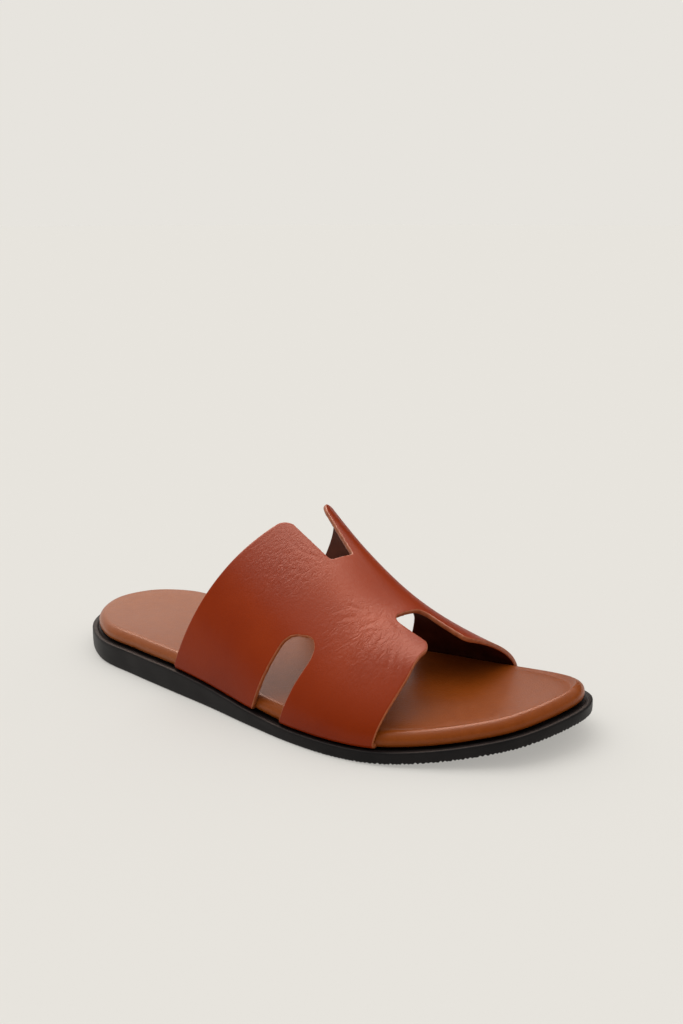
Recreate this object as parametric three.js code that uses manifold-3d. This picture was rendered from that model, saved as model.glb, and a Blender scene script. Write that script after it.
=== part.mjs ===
// Slide sandal for the right foot: a thin rubber outsole, a leather-covered footbed and one leather strap.
// The strap is cut in one piece, with a notch in its rear edge, a notch in its front edge and a slot in each
// side, so it holds the foot by four legs and a crossbar. Its ends are turned in under the footbed.
// Millimetres. X runs from heel to toe, Y towards the medial side, Z up.
import * as THREE from 'three';
import { mergeVertices } from 'three/addons/utils/BufferGeometryUtils.js';
import Module from 'manifold-3d';

const wasm = await Module();
wasm.setup();

// Sole and footbed
const length = 285;
const ballWidth = 113;
const heelThickness = 11.6;
const foreThickness = 5.8;
const toeSpring = 12;
const heelEdgeRadius = 3.5;
const foreEdgeRadius = 1.2;
const topEdgeRadius = 0.8;
const ledge = 3.7;
const footbedThickness = 6.8;
const footbedEdgeRadius = 4.2;
const heelCupDepth = 1.2;

// Strap. A notch is given by where its two sides meet the strap's edge, as shares of the way around, by how
// far its floor lies from there inward and towards the medial side, and by the floor's width and turn seen
// from above. A slot is given by its middle at the sole, as a share of the length.
const instepHeight = 84.5;
const strapWall = 2.2;
const strapBend = 2.4;
const turnedIn = 12;
const clearance = 0.3;
const lateralFullness = 2.15;
const medialFullness = 2;
const rearNotch = {
  lateral: 0.41,
  medial: 0.503,
  depth: 31,
  aside: -12,
  floor: 13.6,
  turn: -14,
  floorRadius: 1.6,
  flapRadius: 9,
};
const frontNotch = {
  lateral: 0.507,
  medial: 0.645,
  depth: 25,
  aside: 3.1,
  floor: 22.5,
  turn: -7,
  floorRadius: 5,
  flapRadius: 5.5,
};
const lateralSlot = { along: 0.554, width: 17.8, height: 36.8, lean: 20, topRadius: 6.5 };
const medialSlot = { along: 0.562, width: 19, height: 32.4, lean: 18, topRadius: 7 };

// Half widths of the sole from heel to toe, as shares of the length and the ball width
const outlineRows = [
  { along: 0.03, medial: 0.248, lateral: 0.157 },
  { along: 0.11, medial: 0.358, lateral: 0.318 },
  { along: 0.21, medial: 0.35, lateral: 0.374 },
  { along: 0.32, medial: 0.319, lateral: 0.424 },
  { along: 0.42, medial: 0.315, lateral: 0.467 },
  { along: 0.52, medial: 0.341, lateral: 0.519 },
  { along: 0.62, medial: 0.388, lateral: 0.56 },
  { along: 0.7, medial: 0.42, lateral: 0.567 },
  { along: 0.77, medial: 0.431, lateral: 0.535 },
  { along: 0.84, medial: 0.416, lateral: 0.454 },
  { along: 0.9, medial: 0.372, lateral: 0.358 },
  { along: 0.95, medial: 0.298, lateral: 0.254 },
  { along: 0.985, medial: 0.198, lateral: 0.099 },
];
const heelPoint = 0.049;
const toePoint = 0.069;

// Sections of the strap from its rear edge to its front edge. Ridge height is a share of the instep height.
// Ridge side and the swell of each side are shares of the ball width.
const strapRows = [
  { along: 0, ridgeHeight: 1, ridgeSide: 0.23, lateralSwell: 0.036, medialSwell: 0.161 },
  { along: 0.33, ridgeHeight: 0.803, ridgeSide: 0.104, lateralSwell: 0.008, medialSwell: 0.045 },
  { along: 0.67, ridgeHeight: 0.6, ridgeSide: -0.027, lateralSwell: -0.021, medialSwell: -0.012 },
  { along: 1, ridgeHeight: 0.475, ridgeSide: -0.156, lateralSwell: -0.05, medialSwell: -0.045 },
];

// Rear and front edge of the strap, as shares of the length, from the lateral base over the top to the medial
const edgeRows = [
  { around: 0, rear: 0.327, front: 0.762 },
  { around: 0.25, rear: 0.412, front: 0.777 },
  { around: 0.5, rear: 0.452, front: 0.775 },
  { around: 0.75, rear: 0.424, front: 0.798 },
  { around: 1, rear: 0.379, front: 0.811 },
];

// A smooth curve through one column of a table, read at any place along it
function column(rows, key, value) {
  const places = rows.map((row) => row[key]);
  const values = rows.map((row) => row[value]);
  const curve = new THREE.CubicInterpolant(places, values, 1);
  return (at) => curve.evaluate(at)[0];
}

// The sole's edge as a closed curve seen from above, counter-clockwise
const outlinePoints = [
  [0, heelPoint],
  ...outlineRows.map((row) => [row.along, -row.lateral]),
  [1, toePoint],
  ...outlineRows.map((row) => [row.along, row.medial]).reverse(),
].map(([along, side]) => new THREE.Vector3(along * length, side * ballWidth, 0));
const outline = new THREE.CatmullRomCurve3(outlinePoints, true, 'centripetal');
outline.arcLengthDivisions = 1000;

// Points spaced evenly round the outline, moved in by an inset
function edgeRing(count, inset) {
  return Array.from({ length: count }, (_, i) => {
    const point = outline.getPointAt(i / count);
    const tangent = outline.getTangentAt(i / count);
    const moved = typeof inset === 'function' ? inset(point.x) : inset;
    return new THREE.Vector3(point.x - tangent.y * moved, point.y + tangent.x * moved, 0);
  });
}

// Both sides of a ring as runs of points from heel to toe
function sidesOf(ring) {
  const byX = ring.map((point, i) => ({ point, i })).sort((a, b) => a.point.x - b.point.x);
  const heel = byX[0].i;
  const toe = byX[byX.length - 1].i;
  const walk = (from, to, step) => {
    const run = [from];
    for (let i = from; i !== to; ) {
      i = (i + step + ring.length) % ring.length;
      run.push(i);
    }
    return run;
  };
  return { lateral: walk(heel, toe, 1), medial: walk(heel, toe, -1) };
}

// The outline's side, moved in by an inset, at a distance from the heel
const fineCount = 720;
function sideLine(side, inset) {
  const ring = edgeRing(fineCount, inset);
  const run = sidesOf(ring)[side].map((i) => ring[i]);
  return (x) => {
    const next = Math.max(1, run.findIndex((point) => point.x > x));
    const [a, b] = [run[next - 1], run[next]];
    return a.y + ((b.y - a.y) * (x - a.x)) / (b.x - a.x);
  };
}

// Heights of the sole. It thins from heel to forefoot through the waist and turns up at the toe.
const waist = { from: 0.3, to: 0.62 };
const springFrom = 0.72;
function lift(x) {
  const share = Math.max(0, (x / length - springFrom) / (1 - springFrom));
  return toeSpring * share * share;
}
function soleTop(x) {
  const thinned = THREE.MathUtils.smoothstep(x / length, waist.from, waist.to);
  return THREE.MathUtils.lerp(heelThickness, foreThickness, thinned) + lift(x);
}
function footbedTop(x) {
  return soleTop(x) + clearance + footbedThickness;
}

// Triangles across a ring between its two sides
function closeRing(ring, offset, facesUp) {
  const { lateral, medial } = sidesOf(ring);
  const faces = [];
  let i = 0;
  let j = 0;
  while (i < lateral.length - 1 || j < medial.length - 1) {
    const lateralNext = i < lateral.length - 1 ? ring[lateral[i + 1]].x : Infinity;
    const medialNext = j < medial.length - 1 ? ring[medial[j + 1]].x : Infinity;
    const a = lateral[i];
    const b = medial[j];
    const c = lateralNext <= medialNext ? lateral[++i] : medial[++j];
    if (a !== b && a !== c && b !== c) faces.push(facesUp ? [a, c, b] : [a, b, c]);
  }
  return faces.flat().map((index) => index + offset);
}

// A closed body through rings from the bottom up, with the first and the last ring closed across
function ringBody(rings) {
  const count = rings[0].length;
  const index = [];
  for (let k = 0; k < rings.length - 1; k++) {
    for (let i = 0; i < count; i++) {
      const a = k * count + i;
      const b = k * count + ((i + 1) % count);
      index.push(a, b, b + count, a, b + count, a + count);
    }
  }
  index.push(...closeRing(rings[0], 0, false));
  index.push(...closeRing(rings[rings.length - 1], (rings.length - 1) * count, true));
  return bodyOf(rings.flat(), index);
}

function bodyOf(points, index) {
  const geometry = new THREE.BufferGeometry().setFromPoints(points);
  geometry.setIndex(index);
  return geometry;
}

// Closed geometry to a solid for cutting, and back
function toSolid(geometry) {
  const bare = geometry.clone();
  bare.deleteAttribute('normal');
  bare.deleteAttribute('uv');
  const merged = mergeVertices(bare);
  return new wasm.Manifold(new wasm.Mesh({
    numProp: 3,
    vertProperties: merged.attributes.position.array,
    triVerts: Uint32Array.from(merged.index.array),
  }));
}
function toGeometry(solid) {
  const mesh = solid.getMesh();
  const geometry = new THREE.BufferGeometry();
  geometry.setAttribute('position', new THREE.BufferAttribute(mesh.vertProperties, 3));
  geometry.setIndex(new THREE.BufferAttribute(mesh.triVerts, 1));
  return geometry;
}

// A closed shape through corners, each rounded by its own radius
function roundedShape(corners) {
  const shape = new THREE.Shape();
  corners.forEach((corner, i) => {
    const before = corners[(i + corners.length - 1) % corners.length].at;
    const after = corners[(i + 1) % corners.length].at;
    const back = before.clone().sub(corner.at).normalize();
    const ahead = after.clone().sub(corner.at).normalize();
    const half = Math.acos(THREE.MathUtils.clamp(back.dot(ahead), -1, 1)) / 2;
    const reach = corner.radius / Math.tan(half);
    const start = back.clone().multiplyScalar(reach).add(corner.at);
    if (i === 0) shape.moveTo(start.x, start.y);
    else shape.lineTo(start.x, start.y);
    if (corner.radius > 0) {
      const middle = back.clone().add(ahead).normalize();
      const centre = middle.multiplyScalar(corner.radius / Math.sin(half)).add(corner.at);
      const end = ahead.clone().multiplyScalar(reach).add(corner.at);
      const from = Math.atan2(start.y - centre.y, start.x - centre.x);
      const to = Math.atan2(end.y - centre.y, end.x - centre.x);
      shape.absarc(centre.x, centre.y, corner.radius, from, to, back.cross(ahead) > 0);
    }
  });
  return shape;
}

function corner(x, y, radius = 0) {
  return { at: new THREE.Vector2(x, y), radius };
}

// Outsole: a rounded lower edge, larger at the heel, and an upright wall up to a ledge round the footbed
const ringCount = 88;
const heelRoundEnds = 0.2;
function makeOutsole() {
  const bottomRadius = (x) => {
    const forward = THREE.MathUtils.smoothstep(x, 0, heelRoundEnds * length);
    return THREE.MathUtils.lerp(heelEdgeRadius, foreEdgeRadius, forward);
  };
  const bottomSteps = 3;
  const rings = [];
  for (let k = 0; k <= bottomSteps; k++) {
    const turn = (k / bottomSteps) * (Math.PI / 2);
    const ring = edgeRing(ringCount, (x) => bottomRadius(x) * (1 - Math.sin(turn)));
    rings.push(ring.map((p) => p.setZ(lift(p.x) + bottomRadius(p.x) * (1 - Math.cos(turn)))));
  }
  rings.push(edgeRing(ringCount, 0).map((p) => p.setZ(soleTop(p.x) - topEdgeRadius)));
  rings.push(edgeRing(ringCount, topEdgeRadius).map((p) => p.setZ(soleTop(p.x))));
  return ringBody(rings);
}

// Strap surface. Along is 0 at the rear edge and 1 at the front edge, around is 0 at the lateral base and
// 1 at the medial base. The base runs beside the footbed and just above the sole.
const baseInset = ledge - clearance - strapWall;
const lateralBase = sideLine('lateral', baseInset);
const medialBase = sideLine('medial', baseInset);
const rearEdge = column(edgeRows, 'around', 'rear');
const frontEdge = column(edgeRows, 'around', 'front');
const ridgeHeight = column(strapRows, 'along', 'ridgeHeight');
const ridgeSide = column(strapRows, 'along', 'ridgeSide');
const lateralSwell = column(strapRows, 'along', 'lateralSwell');
const medialSwell = column(strapRows, 'along', 'medialSwell');
function strapPoint(along, around) {
  const x = THREE.MathUtils.lerp(rearEdge(around), frontEdge(around), along) * length;
  const lateral = around < 0.5;
  const turn = around * Math.PI;
  const power = 2 / (lateral ? lateralFullness : medialFullness);
  const out = Math.abs(Math.cos(turn)) ** power;
  const up = Math.sin(turn) ** power;
  const swell = (lateral ? -lateralSwell(along) : medialSwell(along)) * ballWidth * Math.sin(2 * turn) ** 2;
  const baseY = lateral ? lateralBase(x) : medialBase(x);
  const y = THREE.MathUtils.lerp(ridgeSide(along) * ballWidth, baseY, out) + swell;
  const baseZ = soleTop(x) + clearance + strapBend;
  return new THREE.Vector3(x, y, THREE.MathUtils.lerp(baseZ, ridgeHeight(along) * instepHeight, up));
}

// The same place on the strap's inner face, a wall's thickness in along the surface's normal
const slopeStep = 0.004;
function strapInner(along, around) {
  const ahead = strapPoint(Math.min(1, along + slopeStep), around);
  const behind = strapPoint(Math.max(0, along - slopeStep), around);
  const medial = strapPoint(along, Math.min(1, around + slopeStep));
  const lateral = strapPoint(along, Math.max(0, around - slopeStep));
  const normal = medial.sub(lateral).cross(ahead.sub(behind)).normalize();
  return strapPoint(along, around).addScaledVector(normal, strapWall);
}

// Distance round the strap's edge in millimetres, from the lateral base to any place around
function edgeLength(along) {
  const count = fineCount;
  const lengths = [0];
  for (let i = 1; i <= count; i++) {
    const step = strapPoint(along, i / count).distanceTo(strapPoint(along, (i - 1) / count));
    lengths.push(lengths[i - 1] + step);
  }
  return (around) => {
    const i = Math.min(count - 1, Math.floor(around * count));
    return THREE.MathUtils.lerp(lengths[i], lengths[i + 1], around * count - i);
  };
}

// A notch's outline from above: the two ends of its mouth on the strap's edge and the two ends of its floor
function notchPlan(notch, along) {
  const inward = along === 0 ? 1 : -1;
  const turn = THREE.MathUtils.degToRad(notch.turn);
  const half = new THREE.Vector2(-Math.sin(turn), Math.cos(turn)).multiplyScalar(notch.floor / 2);
  const [lateral, medial] = [notch.lateral, notch.medial].map((around) => {
    const mouth = strapPoint(along, around);
    return new THREE.Vector2(mouth.x, mouth.y);
  });
  const shift = new THREE.Vector2(inward * notch.depth, notch.aside);
  const floor = lateral.clone().lerp(medial, 0.5).add(shift);
  const floorLateral = floor.clone().sub(half);
  const floorMedial = floor.clone().add(half);
  return { inward, lateral, medial, floorLateral, floorMedial };
}

// Where around the strap a notch's side lies, at a distance in from the strap's edge, found by halving a
// range over the strap's top until it is fine enough
const topRange = { from: 0.3, to: 0.8 };
const fineEnough = 1e-4;
function sideShare(notch, along, side, distance) {
  const plan = notchPlan(notch, along);
  const [from, to] = side === 'lateral' ? [plan.lateral, plan.floorLateral] : [plan.medial, plan.floorMedial];
  const beside = (around) => {
    const share = distance / ((frontEdge(around) - rearEdge(around)) * length);
    const point = strapPoint(Math.abs(along - share), around);
    return (to.x - from.x) * (point.y - from.y) - (to.y - from.y) * (point.x - from.x);
  };
  let low = topRange.from;
  let high = topRange.to;
  while (high - low > fineEnough) {
    const middle = (low + high) / 2;
    if (beside(middle) * plan.inward < 0) low = middle;
    else high = middle;
  }
  return low;
}

// How much is trimmed off the strap's edge to round the corners of both flaps, as a share of the way along
function flapTrim(notch, along) {
  const lengthTo = edgeLength(along);
  const radius = notch.flapRadius;
  const lateral = lengthTo(sideShare(notch, along, 'lateral', radius));
  const medial = lengthTo(sideShare(notch, along, 'medial', radius));
  return (around) => {
    const outside = Math.max(lateral - lengthTo(around), lengthTo(around) - medial);
    const into = THREE.MathUtils.clamp(radius - outside, 0, radius);
    const trim = radius - Math.sqrt(radius ** 2 - into ** 2);
    return trim / ((frontEdge(around) - rearEdge(around)) * length);
  };
}
const rearTrim = flapTrim(rearNotch, 0);
const frontTrim = flapTrim(frontNotch, 1);

// Places around the strap, closer together at the rounded corners of the flaps
const evenSteps = 32;
const cornerShares = [0, 0.08, 0.22, 0.42, 0.7, 1];
const leastShare = 0.08;
function placesAround() {
  const places = Array.from({ length: evenSteps + 1 }, (_, i) => i / evenSteps);
  for (const [notch, along] of [[rearNotch, 0], [frontNotch, 1]]) {
    const reach = notch.flapRadius / edgeLength(along)(1);
    const lateral = sideShare(notch, along, 'lateral', notch.flapRadius);
    const medial = sideShare(notch, along, 'medial', notch.flapRadius);
    for (const share of cornerShares) places.push(lateral - share * reach, medial + share * reach);
  }
  const apart = (place, i, all) => i === 0 || place - all[i - 1] > leastShare / evenSteps;
  return places.sort((a, b) => a - b).filter(apart);
}

// One lengthwise line of the strap, as places in a section: the turned-in edge, its bend, and the wall
const bendSteps = 3;
const alongSteps = 24;
function sheetLines() {
  const bend = (turn, radius) => ({ out: radius * Math.sin(turn), up: radius * Math.cos(turn) });
  const turnedInLines = (around, inward) => {
    const lines = [{ around, outer: [inward * turnedIn, 0], inner: [inward * turnedIn, strapWall] }];
    for (let k = 0; k < bendSteps; k++) {
      const turn = (k / bendSteps) * (Math.PI / 2);
      const outer = bend(turn, strapBend);
      const inner = bend(turn, strapBend - strapWall);
      lines.push({
        around,
        outer: [inward * (strapBend - outer.out), strapBend - outer.up],
        inner: [inward * (strapBend - inner.out), strapBend - inner.up],
      });
    }
    return lines;
  };
  const wall = placesAround().map((around) => ({ around }));
  return [...turnedInLines(0, 1), ...wall, ...turnedInLines(1, -1).reverse()];
}

// The strap before its notches and slots are cut
function makeStrapSheet() {
  const lines = sheetLines();
  const place = (line, i, face) => {
    const trimmed = 1 - frontTrim(line.around);
    const along = THREE.MathUtils.lerp(rearTrim(line.around), trimmed, i / alongSteps);
    if (!line[face]) {
      return face === 'outer' ? strapPoint(along, line.around) : strapInner(along, line.around);
    }
    const base = strapPoint(along, line.around);
    return new THREE.Vector3(base.x, base.y + line[face][0], soleTop(base.x) + clearance + line[face][1]);
  };
  const points = [];
  for (let i = 0; i <= alongSteps; i++) {
    for (const face of ['outer', 'inner']) points.push(...lines.map((line) => place(line, i, face)));
  }
  const width = lines.length;
  const outer = (i, j) => i * 2 * width + j;
  const inner = (i, j) => outer(i, j) + width;
  const index = [];
  const quad = (a, b, c, d) => index.push(a, b, c, a, c, d);
  for (let i = 0; i < alongSteps; i++) {
    for (let j = 0; j < width - 1; j++) {
      quad(outer(i, j), outer(i + 1, j), outer(i + 1, j + 1), outer(i, j + 1));
      quad(inner(i, j), inner(i, j + 1), inner(i + 1, j + 1), inner(i + 1, j));
    }
    quad(outer(i, 0), inner(i, 0), inner(i + 1, 0), outer(i + 1, 0));
    quad(outer(i, width - 1), outer(i + 1, width - 1), inner(i + 1, width - 1), inner(i, width - 1));
  }
  for (let j = 0; j < width - 1; j++) {
    quad(outer(0, j), outer(0, j + 1), inner(0, j + 1), inner(0, j));
    quad(outer(alongSteps, j), inner(alongSteps, j), inner(alongSteps, j + 1), outer(alongSteps, j + 1));
  }
  return bodyOf(points, index);
}

// A notch in the rear or front edge, cut straight down through the top of the strap to just above the footbed
const cutterSegments = 12;
const aboveFootbed = 6;
function notchCutter(notch, along) {
  const { inward, lateral, medial, floorLateral, floorMedial } = notchPlan(notch, along);
  const past = 2 * notch.flapRadius * inward;
  const corners = [
    corner(lateral.x - past, lateral.y),
    corner(lateral.x, lateral.y),
    corner(floorLateral.x, floorLateral.y, notch.floorRadius),
    corner(floorMedial.x, floorMedial.y, notch.floorRadius),
    corner(medial.x, medial.y),
    corner(medial.x - past, medial.y),
  ];
  const bottom = footbedTop(lateral.x) + aboveFootbed;
  const cutter = new THREE.ExtrudeGeometry(roundedShape(corners), {
    depth: instepHeight + strapWall - bottom,
    bevelEnabled: false,
    curveSegments: cutterSegments,
  });
  return toSolid(cutter.translate(0, 0, bottom));
}

// How far a slot leans forward for each millimetre of height
function leanOf(slot) {
  return Math.tan(THREE.MathUtils.degToRad(slot.lean));
}

// A slot in the strap's side, open at the sole, cut straight across
function slotCutter(slot, side) {
  const x = slot.along * length;
  const floor = soleTop(x);
  const shift = leanOf(slot) * slot.height;
  const below = clearance + strapWall;
  const back = leanOf(slot) * below;
  const half = slot.width / 2;
  const corners = [
    corner(x - half - back, floor - below),
    corner(x + half - back, floor - below),
    corner(x + half + shift, floor + slot.height, slot.topRadius),
    corner(x - half + shift, floor + slot.height, slot.topRadius),
  ];
  const reach = ballWidth;
  const cutter = new THREE.ExtrudeGeometry(roundedShape(corners), {
    depth: reach,
    bevelEnabled: false,
    curveSegments: cutterSegments,
  });
  cutter.rotateX(Math.PI / 2);
  const within = turnedIn + 3 * strapWall;
  const start = side === 'lateral' ? lateralBase(x) + within : medialBase(x) - within + reach;
  return toSolid(cutter.translate(0, start, 0));
}

function makeUpper() {
  return toGeometry(
    toSolid(makeStrapSheet())
      .subtract(notchCutter(rearNotch, 0))
      .subtract(notchCutter(frontNotch, 1))
      .subtract(slotCutter(lateralSlot, 'lateral'))
      .subtract(slotCutter(medialSlot, 'medial')),
  );
}

// The room under the footbed for one turned-in leg, between two distances from the heel
function recessCutter(side, from, to) {
  const steps = 12;
  const base = side === 'lateral' ? lateralBase : medialBase;
  const inward = side === 'lateral' ? 1 : -1;
  const points = [];
  for (let i = 0; i <= steps; i++) {
    const x = THREE.MathUtils.lerp(from - clearance, to + clearance, i / steps);
    const beside = base(x) - inward * strapWall;
    const under = base(x) + inward * (turnedIn + clearance);
    const low = soleTop(x) - clearance;
    const high = soleTop(x) + strapWall + 2 * clearance;
    const left = Math.min(beside, under);
    const right = Math.max(beside, under);
    points.push(new THREE.Vector3(x, left, low), new THREE.Vector3(x, right, low));
    points.push(new THREE.Vector3(x, right, high), new THREE.Vector3(x, left, high));
  }
  const index = [0, 3, 2, 0, 2, 1];
  for (let i = 0; i < steps; i++) {
    for (let k = 0; k < 4; k++) {
      const a = i * 4 + k;
      const b = i * 4 + ((k + 1) % 4);
      index.push(a, b, b + 4, a, b + 4, a + 4);
    }
  }
  const end = steps * 4;
  index.push(end, end + 1, end + 2, end, end + 2, end + 3);
  return toSolid(bodyOf(points, index));
}

// Footbed: a vertical side, a rounded edge and a top with a shallow cup for the heel. The top's rings close
// in on a spine, given as shares of the length.
const crownShares = [0.86, 0.62, 0.34];
const spine = { from: 0.16, to: 0.84 };
const heelCupEnds = 0.5;
function makeFootbed() {
  const rings = [];
  const ringAt = (inset, height) =>
    edgeRing(ringCount, inset).map((p) => p.setZ(soleTop(p.x) + clearance + height));
  rings.push(ringAt(ledge, 0));
  const edgeSteps = 4;
  for (let k = 0; k <= edgeSteps; k++) {
    const turn = (k / edgeSteps) * (Math.PI / 2);
    const inset = ledge + footbedEdgeRadius * (1 - Math.cos(turn));
    const height = footbedThickness - footbedEdgeRadius * (1 - Math.sin(turn));
    rings.push(ringAt(inset, height));
  }
  const rim = rings[rings.length - 1];
  for (const share of crownShares) {
    rings.push(rim.map((p) => {
      const x = THREE.MathUtils.clamp(p.x, spine.from * length, spine.to * length);
      const foot = new THREE.Vector3(x, (lateralBase(x) + medialBase(x)) / 2, 0);
      const point = foot.lerp(p, share);
      const behind = 1 - THREE.MathUtils.smoothstep(point.x, 0, heelCupEnds * length);
      return point.setZ(footbedTop(point.x) - heelCupDepth * behind * (1 - share * share));
    }));
  }
  let body = toSolid(ringBody(rings));
  for (const [side, slot, around] of [['lateral', lateralSlot, 0], ['medial', medialSlot, 1]]) {
    const slotRear = slot.along * length - slot.width / 2;
    const slotFront = slotRear + slot.width;
    const leaned = leanOf(slot) * (strapWall + 2 * clearance);
    body = body
      .subtract(recessCutter(side, rearEdge(around) * length, slotRear + leaned))
      .subtract(recessCutter(side, slotFront, frontEdge(around) * length));
  }
  return toGeometry(body);
}

const looks = {
  outsole: new THREE.MeshStandardMaterial({ color: 0x2a2a2a, roughness: 0.62, metalness: 0 }),
  footbed: new THREE.MeshStandardMaterial({ color: 0x9a5a36, roughness: 0.42, metalness: 0 }),
  upper: new THREE.MeshStandardMaterial({ color: 0x8a3218, roughness: 0.38, metalness: 0 }),
};

function piece(name, geometry) {
  const mesh = new THREE.Mesh(geometry, looks[name]);
  mesh.name = name;
  return mesh;
}

const sandal = new THREE.Group();
sandal.add(piece('outsole', makeOutsole()));
sandal.add(piece('footbed', makeFootbed()));
sandal.add(piece('upper', makeUpper()));

// The origin is the middle of the whole sandal's box, on the ground
const middle = new THREE.Box3().setFromObject(sandal).getCenter(new THREE.Vector3());
for (const { geometry } of sandal.children) geometry.translate(-middle.x, -middle.y, 0);

export default sandal;
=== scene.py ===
import math

import bpy
import numpy as np
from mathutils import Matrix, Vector


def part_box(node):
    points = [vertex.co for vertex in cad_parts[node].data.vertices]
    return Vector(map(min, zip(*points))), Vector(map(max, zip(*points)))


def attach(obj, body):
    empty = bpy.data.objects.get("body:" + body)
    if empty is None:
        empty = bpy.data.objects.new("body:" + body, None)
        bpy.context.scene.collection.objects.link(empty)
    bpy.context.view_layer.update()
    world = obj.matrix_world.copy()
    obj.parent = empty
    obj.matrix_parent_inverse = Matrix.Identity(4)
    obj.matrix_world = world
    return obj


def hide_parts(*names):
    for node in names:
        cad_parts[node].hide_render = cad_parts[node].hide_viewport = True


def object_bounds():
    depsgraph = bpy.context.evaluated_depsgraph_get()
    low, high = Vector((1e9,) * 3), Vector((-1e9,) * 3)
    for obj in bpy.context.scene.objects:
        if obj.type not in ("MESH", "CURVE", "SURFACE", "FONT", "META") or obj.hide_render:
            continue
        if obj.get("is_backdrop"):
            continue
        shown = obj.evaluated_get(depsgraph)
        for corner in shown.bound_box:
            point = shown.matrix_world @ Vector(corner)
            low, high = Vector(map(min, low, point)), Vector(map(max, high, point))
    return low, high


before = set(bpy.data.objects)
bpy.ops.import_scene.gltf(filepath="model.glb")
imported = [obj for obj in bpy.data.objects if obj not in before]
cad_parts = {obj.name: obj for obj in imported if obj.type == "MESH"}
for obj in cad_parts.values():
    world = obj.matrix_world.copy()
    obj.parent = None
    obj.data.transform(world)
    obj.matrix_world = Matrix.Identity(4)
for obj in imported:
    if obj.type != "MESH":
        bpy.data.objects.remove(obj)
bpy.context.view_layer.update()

# Camera: at the photograph's viewing angle, 14 degrees down and 33 degrees round from the shoe's side.
# Its place was fitted to the photographed pair, and its lens and shifts frame the one sandal.
camera = bpy.data.objects.new("camera", bpy.data.cameras.new("camera"))
bpy.context.scene.collection.objects.link(camera)
camera.location = (0.3473, -0.4589, 0.238)
camera.rotation_mode = "QUATERNION"
camera.rotation_quaternion = Vector((-0.5294, 0.8152, -0.2349)).to_track_quat("-Z", "Y")
camera.data.sensor_width = 36
camera.data.lens = 44
camera.data.shift_x = -0.0476
camera.data.shift_y = -0.0215
bpy.context.scene.camera = camera
bpy.context.scene.view_settings.view_transform = "Standard"

# Outsole: black rubber, moulded in one piece. It is thicker at the heel, turns up at the toe and leaves a
# smooth ledge round the footbed, which is glued on. Its lower edge is saw-toothed where the tread's grooves
# run out.
MM = 0.001
LENGTH = 285
BALL_WIDTH = 113
HEEL_THICKNESS = 11.6
FORE_THICKNESS = 5.8
TOE_SPRING = 12
LEDGE = 3.7
HEEL_LOWER_RADIUS = 3.5
FORE_LOWER_RADIUS = 1.2
UPPER_RADIUS = 0.8
GROOVE_DEPTH = 0.7
HEEL_TOOTH = 0.1
TOE_TOOTH = 1.05
WALL_WAVE = 0.14

# shares of the length: where the sole thins, where the toe starts to turn up, and the ends of the middle
# line that the rings of the flat faces close in on
THINS_FROM, THINS_TO = 0.3, 0.62
SPRING_FROM = 0.72
SPINE_FROM, SPINE_TO = 0.14, 0.86

# half widths from heel to toe: share of the length, medial and lateral shares of the ball width
OUTLINE = [
    (0.030, 0.248, 0.157),
    (0.110, 0.358, 0.318),
    (0.210, 0.350, 0.374),
    (0.320, 0.319, 0.424),
    (0.420, 0.315, 0.467),
    (0.520, 0.341, 0.519),
    (0.620, 0.388, 0.560),
    (0.700, 0.420, 0.567),
    (0.770, 0.431, 0.535),
    (0.840, 0.416, 0.454),
    (0.900, 0.372, 0.358),
    (0.950, 0.298, 0.254),
    (0.985, 0.198, 0.099),
]
HEEL_POINT = 0.049
TOE_POINT = 0.069


def between(first, second, start, end, u):
    """The value at u on the straight line from first at start to second at end."""
    return first * (end - u) / (end - start) + second * (u - start) / (end - start)


def closed_curve(points, steps):
    """A centripetal curve through closed points, with steps places between each two."""
    rows = []
    for i in range(len(points)):
        p = [points[(i + k - 1) % len(points)] for k in range(4)]
        t = np.cumsum([0] + [np.linalg.norm(p[k + 1] - p[k]) ** 0.5 for k in range(3)])
        for u in np.arange(steps) / steps * (t[2] - t[1]) + t[1]:
            a = [between(p[k], p[k + 1], t[k], t[k + 1], u) for k in range(3)]
            b = [between(a[k], a[k + 1], t[k], t[k + 2], u) for k in range(2)]
            rows.append(between(b[0], b[1], t[1], t[2], u))
    return np.array(rows)


def spaced(points, count):
    """Count points spaced evenly round a closed run of points."""
    ring = np.vstack([points, points[:1]])
    at = np.concatenate([[0], np.cumsum(np.linalg.norm(np.diff(ring, axis=0), axis=1))])
    places = np.arange(count) / count * at[-1]
    return np.column_stack([np.interp(places, at, ring[:, k]) for k in range(2)])


corners = [(0, HEEL_POINT)] + [(row[0], -row[2]) for row in OUTLINE]
corners += [(1, TOE_POINT)] + [(row[0], row[1]) for row in OUTLINE[::-1]]
outline = closed_curve(np.array(corners) * (LENGTH, BALL_WIDTH), 60)
to_row = np.array(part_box("outsole")[0]) / MM - np.array([*outline.min(0), 0])


def edge_ring(count, inset=0):
    """Points evenly round the sole's edge, each moved in by an inset in millimetres."""
    ring = spaced(outline, count)
    along = np.roll(ring, -1, 0) - np.roll(ring, 1, 0)
    along /= np.linalg.norm(along, axis=1)[:, None]
    inward = np.column_stack([-along[:, 1], along[:, 0]])
    return ring + inward * np.broadcast_to(inset, count)[:, None]


def two_sides(ring):
    """The lateral and the medial side of a ring, each from heel to toe."""
    sides = ring[ring[:, 1] < 0], ring[ring[:, 1] > 0]
    return [side[side[:, 0].argsort()] for side in sides]


def smooth(x, low, high):
    """A soft step from 0 at low to 1 at high."""
    t = np.clip((np.asarray(x, float) - low) / (high - low), 0, 1)
    return t * t * (3 - 2 * t)


def lift(x):
    """How far the sole's underside is off the ground, because the toe turns up."""
    return TOE_SPRING * np.clip((x / LENGTH - SPRING_FROM) / (1 - SPRING_FROM), 0, None) ** 2


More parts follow.
